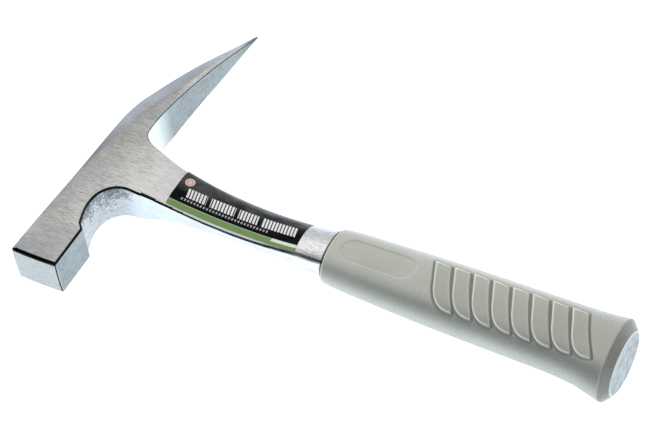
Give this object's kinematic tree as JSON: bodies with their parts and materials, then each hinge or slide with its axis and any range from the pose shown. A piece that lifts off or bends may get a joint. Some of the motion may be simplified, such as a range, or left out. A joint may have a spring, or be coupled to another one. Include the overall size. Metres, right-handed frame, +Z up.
{
  "type": "rock hammer",
  "caption": "One-piece forged steel rock hammer with a square striking face, a pointed pick and a moulded non-slip grip.",
  "frame": {"origin": "centre of the footprint at the lowest point, with the hammer lying on its side", "axes": "+X down the handle from head to butt, +Y towards the point of the pick, +Z up through the thickness"},
  "size_m": [0.281, 0.1744, 0.0344],
  "materials": {
    "steel": "brushed, with ground edges",
    "grip": "satin moulded vinyl",
    "adhesive": "cured adhesive film",
    "label": "glossy printed film"
  },
  "bodies": {
    "root": {"forged_hammer_body": "steel", "grip_sleeve": "grip", "grip_bond": "adhesive", "shank_label": "label"}
  },
  "joints": []
}
